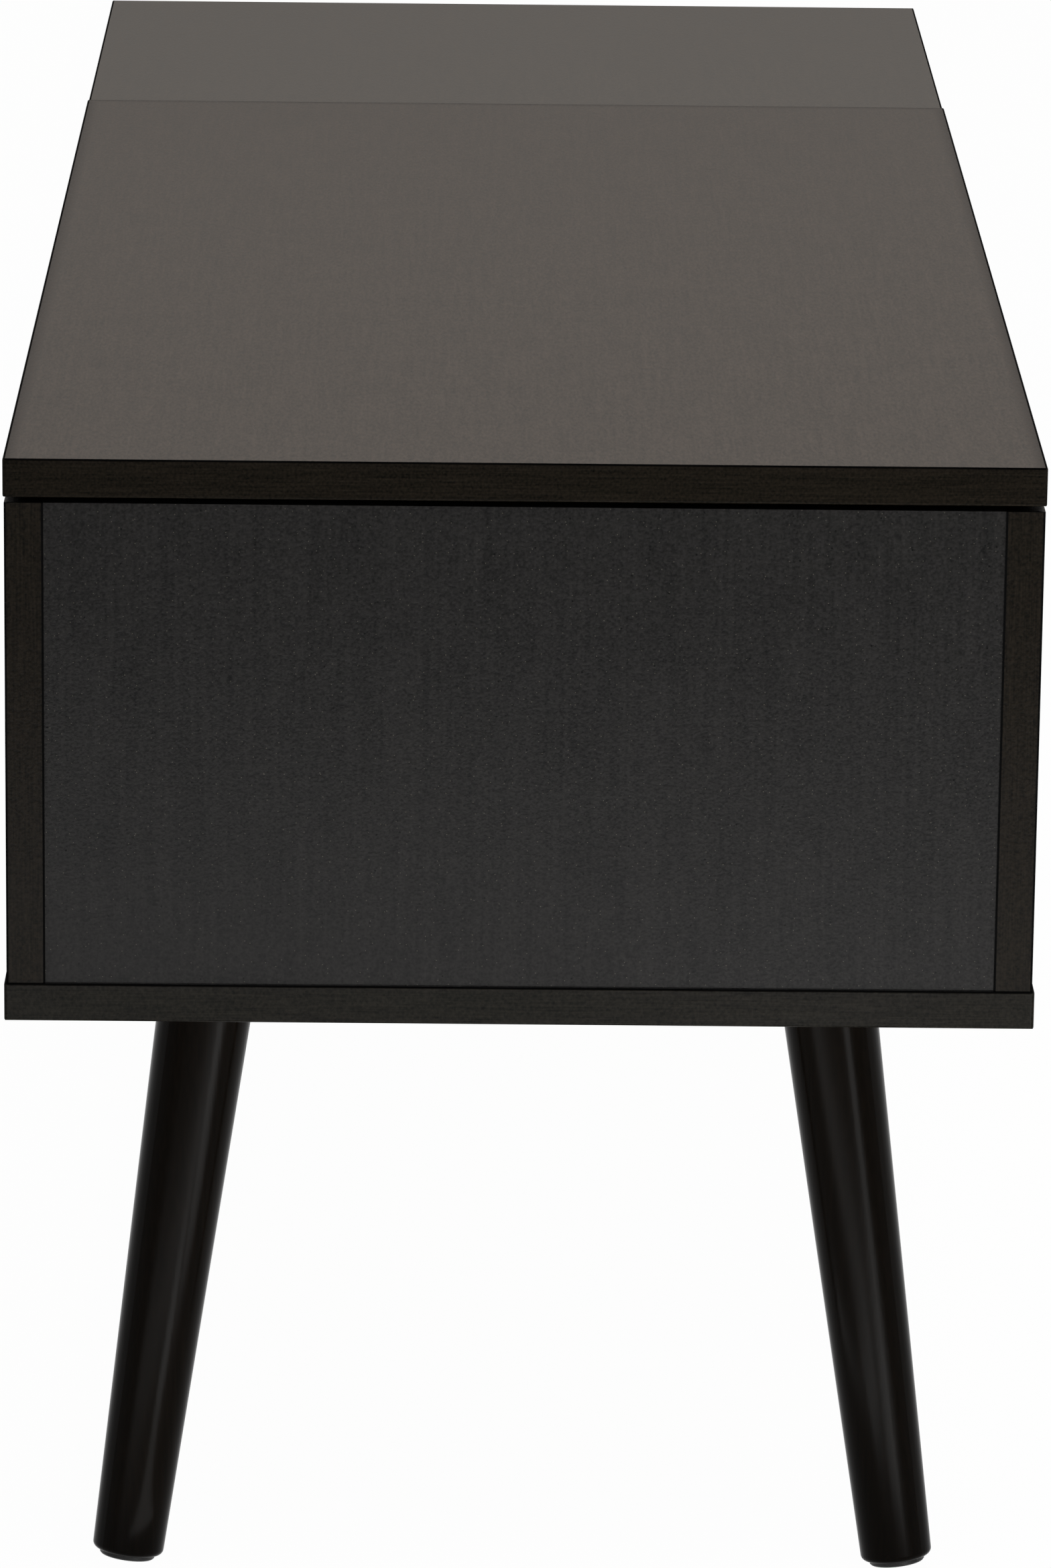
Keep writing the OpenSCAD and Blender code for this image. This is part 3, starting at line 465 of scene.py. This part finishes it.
def recessed(mesh, head_d):
    """Cuts a tapered cross recess into the head."""
    head = bpy.data.objects.new("screw", mesh)
    bpy.context.scene.collection.objects.link(head)
    blades = []
    for wide, narrow in ((0, 1), (1, 0)):
        shape = bmesh.new()
        bmesh.ops.create_cube(shape, size=1)
        for vert in shape.verts:
            reach = RECESS_WIDTH if vert.co.z > 0 else RECESS_FOOT
            vert.co[wide] *= reach * head_d
            vert.co[narrow] *= RECESS_BLADE * head_d
            vert.co.z = 0.1 * head_d if vert.co.z > 0 else -RECESS_DEPTH * head_d
        blade_mesh = bpy.data.meshes.new("blade")
        shape.to_mesh(blade_mesh)
        shape.free()
        blade = bpy.data.objects.new("blade", blade_mesh)
        bpy.context.scene.collection.objects.link(blade)
        cut = head.modifiers.new("recess", "BOOLEAN")
        cut.operation, cut.object, cut.solver = "DIFFERENCE", blade, "EXACT"
        blades.append(blade)
    graph = bpy.context.evaluated_depsgraph_get()
    result = bpy.data.meshes.new_from_object(head.evaluated_get(graph))
    for scrap in blades + [head]:
        bpy.data.objects.remove(scrap)
    return result


def fit_screws(node, name, body, finish, countersunk, direction_at):
    """Replaces a CAD node's screws, each turned to the direction that its head faces."""
    boxes = solids(node)
    places = []
    for k, (low, high) in enumerate(boxes):
        centre = (low + high) / 2
        direction = Vector(direction_at(centre))
        size = high - low
        length = abs(size.dot(direction))
        places.append(facing(centre + direction * length / 2, direction, spin=SPIN_STEP * k))
    head_d = min(size)
    r = head_d / 2
    flat = [(0, 0), (0.94 * r, 0), (r, -0.04 * r), (r / 2, -r / 2)]
    pan = [(0, 0), (0.5 * r, -0.05 * r), (0.85 * r, -0.2 * r), (r, -0.42 * r), (r, -0.6 * r),
           (r / 2, -0.6 * r)]
    template = screw(flat if countersunk else pan, head_d, head_d / 2, length)
    screws = copies(name, template, places, finish)
    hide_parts(node)
    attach(screws, body)


def down(_):
    """Direction of the heads that are driven from below."""
    return 0, 0, -1


fit_screws("long_screws", "chipboard_screws", "table", zinc_plating, True, down)

# ---- Tops ----
# The lid and the fixed top are the same board in a warmer black, mottled lengthwise and banded all
# round. The lid's face is a little duller than the fixed top's, and shade is painted into its colour
# along its sides and its far end.

TOP_BLACK = "#17130f"
LID_GREY = "#473f39"
FIXED_TOP_GREY = "#46403a"
TOP_GRAIN_LENGTH_MM = 4
TOP_ROUGHNESS = 0.4
LID_SPECULAR = 0.183
FIXED_TOP_SPECULAR = 0.325
TOP_BAND_SPECULAR = 0.012

lid_melamine = melamine("black_melamine_lid", TOP_BLACK, LID_GREY, "Z", "Y", LID_SPECULAR,
                        TOP_ROUGHNESS, TOP_GRAIN_LENGTH_MM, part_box("lift_lid")[1][:2])
fixed_melamine = melamine("black_melamine_fixed_top", TOP_BLACK, FIXED_TOP_GREY, "Z", "Y",
                          FIXED_TOP_SPECULAR, TOP_ROUGHNESS, TOP_GRAIN_LENGTH_MM)
dress(lid_melamine, "lift_lid")
dress(fixed_melamine, "fixed_top")
top_banding = edge_banding("black_abs_edging_top", BAND_BLACK, BAND_BROWN, "X", TOP_BAND_SPECULAR)
dress(top_banding, "fixed_top_edge_band", "lid_edge_band")

# ---- Lid bumpers ----
# Four stick-on bumpers of black rubber keep the closed lid off the walls. They are moulded matt,
# and pick up a little pale dust.

RUBBER_BLACK = "#121212"
RUBBER_DUST = "#211f1d"
DUST_MM = 1.2


def rubber():
    """Matt moulded rubber."""
    finish, tree = new_finish("black_rubber")
    dust = grains(tree, DUST_MM)
    colour = add(tree, "Mix", {"Factor": dust, "A": linear(RUBBER_BLACK), "B": linear(RUBBER_DUST)},
                 data_type="RGBA")
    relief = add(tree, "Bump", {"Height": dust, "Strength": 0.3, "Distance": RELIEF})
    shader = add(tree, "BsdfPrincipled", {"Base Color": colour, "Roughness": 0.8,
                                          "Specular IOR Level": 0.3, "Normal": relief})
    add(tree, "OutputMaterial", {"Surface": shader})
    return finish


dress(rubber(), "lid_bumpers")

# ---- Legs ----
# The legs are turned beech with a straight taper, sprayed with satin black lacquer that fills the
# pores: smooth, with a soft highlight along each leg. Each foot has a nailed glide of black nylon.

LEG_BLACK = "#060402"
LEG_BROWN = "#0b0704"
LACQUER_GRAIN_MM = 1.2
LACQUER_GRAIN_LENGTH_MM = 36
GLIDE_BLACK = "#0c0c0c"
GLIDE_GREY = "#161615"
NYLON_CLOUD_MM = 2
NYLON_SKIN_MM = 0.5


def lacquered_beech():
    """Satin lacquer that lets a trace of the grain through."""
    finish, tree = new_finish("black_lacquered_beech")
    grain = grains(tree, LACQUER_GRAIN_MM, long_along("Z", LACQUER_GRAIN_LENGTH_MM / LACQUER_GRAIN_MM))
    colour = add(tree, "Mix", {"Factor": grain, "A": linear(LEG_BLACK), "B": linear(LEG_BROWN)},
                 data_type="RGBA")
    relief = add(tree, "Bump", {"Height": grain, "Strength": 0.1, "Distance": RELIEF})
    shader = add(tree, "BsdfPrincipled", {"Base Color": colour, "Roughness": 0.2,
                                          "Specular IOR Level": 0.033, "Normal": relief})
    add(tree, "OutputMaterial", {"Surface": shader})
    return finish


def nylon(name, dark, light, roughness):
    """Moulded nylon, faintly cloudy, with a dull skin."""
    finish, tree = new_finish(name)
    cloud = grains(tree, NYLON_CLOUD_MM)
    colour = add(tree, "Mix", {"Factor": cloud, "A": linear(dark), "B": linear(light)}, data_type="RGBA")
    skin = grains(tree, NYLON_SKIN_MM)
    relief = add(tree, "Bump", {"Height": skin, "Strength": 0.1, "Distance": RELIEF})
    shader = add(tree, "BsdfPrincipled", {"Base Color": colour, "Roughness": roughness,
                                          "Specular IOR Level": 0.3, "Normal": relief})
    add(tree, "OutputMaterial", {"Surface": shader})
    return finish


dress(lacquered_beech(), "front_left_leg", "back_left_leg", "front_right_leg", "back_right_leg")
dress(nylon("black_nylon", GLIDE_BLACK, GLIDE_GREY, 0.45), "foot_glides")

# ---- Leg plates ----
# Each leg screws on a zinc plated hanger bolt into the angled boss of a pressed steel plate, powder
# coated black, that four pan head screws hold under the bottom panel.

POWDER_BLACK = "#0e0e0f"
POWDER_GREY = "#1a1a1b"
POWDER_PEEL_MM = 0.8
POWDER_CLOUD_MM = 12


def powder_coat():
    """Powder coating: a satin skin with fine orange peel."""
    finish, tree = new_finish("black_powder_coat")
    peel = grains(tree, POWDER_PEEL_MM, detail=1)
    cloud = grains(tree, POWDER_CLOUD_MM)
    tone = add(tree, "Mix", {"Factor": 0.5, "A": peel, "B": cloud})
    colour = add(tree, "Mix", {"Factor": tone, "A": linear(POWDER_BLACK), "B": linear(POWDER_GREY)},
                 data_type="RGBA")
    relief = add(tree, "Bump", {"Height": peel, "Strength": 0.4, "Distance": RELIEF})
    shader = add(tree, "BsdfPrincipled", {"Base Color": colour, "Roughness": 0.42,
                                          "Specular IOR Level": 0.4, "Normal": relief})
    add(tree, "OutputMaterial", {"Surface": shader})
    return finish


powder_coating = powder_coat()
dress(powder_coating, "leg_plates")
dress(zinc_plating, "hanger_bolts")
fit_screws("leg_plate_screws", "leg_plate_pan_screws", "table", zinc_plating, False,
           down)

# ---- Lift mechanism ----
# Each side has a pressed base plate, two arms in pressed channels and a folded bracket under the
# lid, all powder coated, with a turned bar that ties the two main arms together.

dress(powder_coating, "left_base_plate", "right_base_plate", "left_main_arm", "right_main_arm",
      "left_second_arm", "right_second_arm", "tie_bar", "left_lid_bracket", "right_lid_bracket")

# The pins are zinc plated steel, riveted over, and turn on washers of natural nylon.

NYLON_DARK = "#cbc6b6"
NYLON_PALE = "#dcd8cb"

dress(zinc_plating, "base_pins", "lid_pins", "stop_pins", "spring_anchors")
dress(nylon("natural_nylon", NYLON_DARK, NYLON_PALE, 0.4), "base_washers", "lid_washers")


def into_box(centre):
    """Direction of the heads that face into the box."""
    return 0, -1 if centre.y > 0 else 1, 0


fit_screws("base_plate_screws", "base_plate_flat_screws", "table", zinc_plating, True,
           into_box)
fit_screws("lid_bracket_screws", "lid_pan_screws", "lid", zinc_plating, False, down)

# ---- Lift springs ----
# A torsion spring of oiled 2.5 mm wire is wound round each main pivot. Its first turn and hooked leg
# move with the arm, and the other turns and the straight leg stay against the anchor pin.

WIRE = 0.0025
TURN_GAP = 0.00015
FIXED_TURNS = 4
MOVING_TURN = math.radians(300)
HOOKED_LEG = 0.042
WIRE_STEP = math.radians(15)
WIRE_DARK = "#4a4845"
WIRE_PALE = "#6f6c66"
OIL_FILM_MM = 3
DRAWN_GRAIN_MM = 0.3


def oiled_spring_steel():
    """Drawn spring wire, dark and slightly oily."""
    finish, tree = new_finish("oiled_spring_steel")
    film = grains(tree, OIL_FILM_MM)
    colour = add(tree, "Mix", {"Factor": film, "A": linear(WIRE_DARK), "B": linear(WIRE_PALE)},
                 data_type="RGBA")
    gloss = add(tree, "MapRange", {"Value": film, "To Min": 0.25, "To Max": 0.4})
    drawn = grains(tree, DRAWN_GRAIN_MM)
    relief = add(tree, "Bump", {"Height": drawn, "Strength": 0.15, "Distance": RELIEF})
    shader = add(tree, "BsdfPrincipled", {"Base Color": colour, "Metallic": 1, "Roughness": gloss,
                                          "Normal": relief})
    add(tree, "OutputMaterial", {"Surface": shader})
    return finish


def wire(name, points, node, body, finish):
    """Round wire through a list of points."""
    curve = bpy.data.curves.new(name, "CURVE")
    curve.dimensions = "3D"
    curve.bevel_depth = WIRE / 2
    curve.bevel_resolution = 3
    curve.use_fill_caps = True
    spline = curve.splines.new("POLY")
    spline.points.add(len(points) - 1)
    for spot, point in zip(spline.points, points):
        spot.co = (*point, 1)
    spline.use_smooth = True
    curve.materials.append(finish)
    piece = bpy.data.objects.new(name, curve)
    bpy.context.scene.collection.objects.link(piece)
    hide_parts(node)
    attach(piece, body)


joints = {joint["name"]: joint for joint in frame["record"]["behaviour"]["joints"]}
pivot = Vector(joints["lift_swing"]["pos_m"])
arm = Vector(joints["lid_level"]["pos_m"]) - pivot
slope = math.atan2(arm.z, arm.x)
springs_low, springs_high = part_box("lift_springs")
coil_radius = springs_high[0] - pivot.x - WIRE / 2
leg_end = springs_low[2]
spring_steel = oiled_spring_steel()


def coil_point(turn, across):
    """Point of the coil at an angle from where the moving leg leaves it."""
    angle = slope - math.pi / 2 - turn
    x = pivot.x + coil_radius * math.cos(angle)
    z = pivot.z + coil_radius * math.sin(angle)
    return Vector((x, across, z))


for hand, inward, bracket_face in (("left", 1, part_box("left_lid_bracket")[0][1]),
                                   ("right", -1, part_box("right_lid_bracket")[1][1])):
    first_turn = bracket_face + inward * WIRE / 2
    rise = inward * (WIRE + TURN_GAP)

    end_turn = slope - math.pi / 2 + 2 * math.pi * FIXED_TURNS
    steps = math.ceil(end_turn / WIRE_STEP)
    fixed = []
    for k in range(steps + 1):
        turn = end_turn * k / steps
        fixed.append(coil_point(turn, first_turn + rise * (1 + turn / (2 * math.pi))))
    fixed.append(Vector((fixed[-1].x, fixed[-1].y, leg_end)))
    wire(hand + "_spring_turns", fixed, "lift_springs", "table", spring_steel)

    moving = [coil_point(MOVING_TURN - WIRE_STEP * k, first_turn)
              for k in range(int(MOVING_TURN / WIRE_STEP) + 1)]
    tip = moving[-1] + arm.normalized() * HOOKED_LEG
    arm_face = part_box(hand + "_main_arm")[0 if inward > 0 else 1][1]
    moving += [tip, Vector((tip.x, arm_face, tip.z))]
    wire(hand + "_spring_hook", moving, "spring_legs", "main_arms", spring_steel)

# ---- Studio ----
# A white paper floor, a soft light overhead, a wide one behind the table that gives the tops their
# sheen, and a small one low at the front. White reflectors lie on the floor: the wide one lights
# the end panel from below, and the narrow ones draw the highlights down the two legs beside it.

FLOOR_SIZE = 40
FLOOR_WHITE = "#e6e6e6"
FLOOR_GLOW = 0.98
WORLD_GREY = 0.17


def soft_light(name, place, at, width, height, watts, colour=(1, 1, 1)):
    """Soft light seen only by what it lights, turned towards a point."""
    lamp = bpy.data.lights.new(name, "AREA")
    lamp.shape, lamp.size, lamp.size_y = "RECTANGLE", width, height
    lamp.energy, lamp.color = watts, colour
    obj = bpy.data.objects.new(name, lamp)
    obj.location = place
    obj.rotation_euler = (Vector(at) - Vector(place)).to_track_quat("-Z", "Y").to_euler()
    obj.visible_camera = False
    bpy.context.scene.collection.objects.link(obj)


floor_mesh = bpy.data.meshes.new("floor")
half = FLOOR_SIZE / 2
corners = [(-half, -half, 0), (half, -half, 0), (half, half, 0), (-half, half, 0)]
floor_mesh.from_pydata(corners, [], [(0, 1, 2, 3)])
floor = bpy.data.objects.new("floor", floor_mesh)
bpy.context.scene.collection.objects.link(floor)
floor_finish, tree = new_finish("white_floor_paper")
ray = add(tree, "LightPath").outputs
seen = add(tree, "Math", {0: ray["Is Camera Ray"], 1: ray["Is Glossy Ray"]}, operation="MAXIMUM")
seen = add(tree, "Math", {0: seen, 1: ray["Is Transmission Ray"]}, operation="MAXIMUM")
share = add(tree, "Math", {0: seen, 1: FLOOR_GLOW}, operation="MULTIPLY")
paper = add(tree, "BsdfDiffuse", {"Color": linear(FLOOR_WHITE)})
glow = add(tree, "Emission", {"Strength": 1})
both = add(tree, "MixShader", {0: share, 1: paper, 2: glow})
add(tree, "OutputMaterial", {"Surface": both})
floor_mesh.materials.append(floor_finish)

world = bpy.data.worlds.new("studio")
world.use_nodes = True
world.node_tree.nodes["Background"].inputs["Color"].default_value = (1, 1, 1, 1)
world.node_tree.nodes["Background"].inputs["Strength"].default_value = WORLD_GREY
bpy.context.scene.world = world

centre = (cad_box[0] + cad_box[1]) / 2
soft_light("overhead_light", (0.3, -0.5, 2.2), (0.1, -0.4, 0), 1.6, 1.6, 45)
soft_light("back_light", (0, 5, 1.5), centre, 5, 2.4, 16, (1, 0.92, 0.83))
soft_light("front_light", (1.32, -2.17, 0.3), (0.1, -0.45, 0.2), 0.5, 0.8, 10)
soft_light("low_reflector", (0.1, -1.3, 0.02), (0.1, -1.2, 1), 1.9, 0.5, 14)
soft_light("front_leg_reflector", (0.312, -0.853, 0.01), (0.258, -0.769, 1.01), 0.2, 0.95, 4)
soft_light("back_leg_reflector", (0.0835, -0.895, 0.012), (0.0787, -0.8862, 1.012), 0.13, 0.36, 1.3)
soft_light("back_foot_reflector", (-0.0685, -0.613, 0.012), (-0.0733, -0.6042, 1.012), 0.055, 0.28,
           0.19)

# ---- Camera ----
# A long lens from just above the table's left end, turned a little down.

LENS = 189.31
CAMERA_PLACE = (-0.0267, -3.5595, 1.1905)
LOOK_DOWN = 0.27198
TURN = -0.00918
ROLL = 0.01144

camera_data = bpy.data.cameras.new("camera")
camera_data.lens = LENS
camera = bpy.data.objects.new("camera", camera_data)
tilted = Matrix.Rotation(math.pi / 2 - LOOK_DOWN, 4, "X") @ Matrix.Rotation(ROLL, 4, "Z")
camera.matrix_world = Matrix.Translation(CAMERA_PLACE) @ Matrix.Rotation(TURN, 4, "Z") @ tilted
bpy.context.scene.collection.objects.link(camera)
bpy.context.scene.camera = camera

bpy.context.scene.view_settings.view_transform = "Standard"
